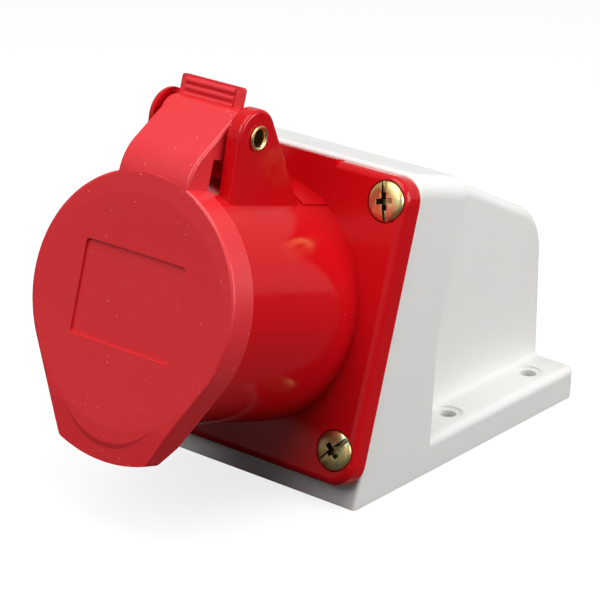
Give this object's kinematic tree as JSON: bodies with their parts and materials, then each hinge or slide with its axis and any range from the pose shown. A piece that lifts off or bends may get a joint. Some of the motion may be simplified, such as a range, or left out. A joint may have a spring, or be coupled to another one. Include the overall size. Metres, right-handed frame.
{
  "type": "industrial wall socket",
  "caption": "Surface-mounted industrial socket outlet: white wall box, red collar with contacts, and a sprung red lid on a brass hinge rivet.",
  "frame": {"origin": "centre of the wall face, the flat underside of the box", "axes": "+Z out of the wall, +Y along the wall from the socket end to the cable end, X across the width"},
  "size_m": [0.0886, 0.1835, 0.1234],
  "materials": {
    "white_plastic": "fine satin moulding",
    "red_plastic": "glossy moulding",
    "red_lid_plastic": "satin moulding, lightly scuffed",
    "black_plastic": "satin moulding",
    "dark_rubber": "matt",
    "brass": "bright",
    "spring_steel": "bright wire",
    "plain_steel": "zinc plated",
    "yellow_zinc_steel": "yellow passivated zinc"
  },
  "bodies": {
    "base": {"wall_box": "white_plastic", "cover_gasket": "dark_rubber", "socket_housing": "red_plastic", "hinge_rivet": "brass", "lid_spring": "spring_steel", "contact_carrier": "black_plastic", "contact_retainer": "black_plastic", "contact_l1": "brass", "contact_l2": "brass", "contact_l3": "brass", "contact_earth": "brass", "contact_spring_rings": "spring_steel", "terminal_screws": "plain_steel", "retainer_screw": "yellow_zinc_steel", "carrier_screws": "yellow_zinc_steel", "cover_screws": "yellow_zinc_steel", "cover_inserts": "brass", "cable_grommet": "dark_rubber"},
    "lid_body": {"lid": "red_lid_plastic", "lid_gasket": "dark_rubber"}
  },
  "joints": [
    {"name": "lid_hinge", "type": "hinge", "parent": "base", "child": "lid_body", "pos_m": [0, -0.0791, 0.1114], "axis": [-1, 0, 0], "range_deg": [0, 110], "stiffness_Nm_per_rad": 0.04, "springref_deg": -114.59, "deforming": ["lid_spring"]}
  ]
}
